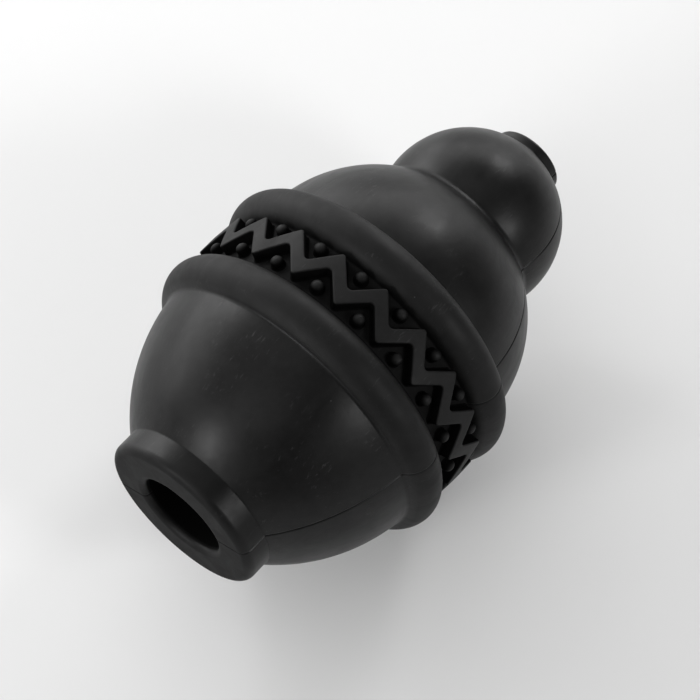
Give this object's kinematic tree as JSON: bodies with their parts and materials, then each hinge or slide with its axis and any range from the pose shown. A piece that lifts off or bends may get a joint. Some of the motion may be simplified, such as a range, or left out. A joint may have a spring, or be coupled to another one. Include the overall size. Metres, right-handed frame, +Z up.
{
  "type": "rubber chew toy",
  "caption": "Hollow rubber chew toy lying on its side: collared round mouth, barrel body with a zigzag and stud band between rounded rings, dome, waist, ball and end knob.",
  "frame": {"origin": "on the ground below the middle of the toy's box, with the toy lying on its side on its rings", "axes": "+Y along the toy's axis from the open mouth to the end knob, +Z up, +X across"},
  "size_m": [0.084, 0.13, 0.084],
  "materials": {
    "rubber": "satin black moulded rubber with faint scuffs and a fine mould line"
  },
  "bodies": {
    "root": {"mouth_collar": "rubber", "lower_bulb": "rubber", "lower_ring": "rubber", "relief_band": "rubber", "zigzag_rib": "rubber", "upper_ring": "rubber", "upper_dome": "rubber", "end_ball": "rubber", "end_knob": "rubber"}
  },
  "joints": []
}
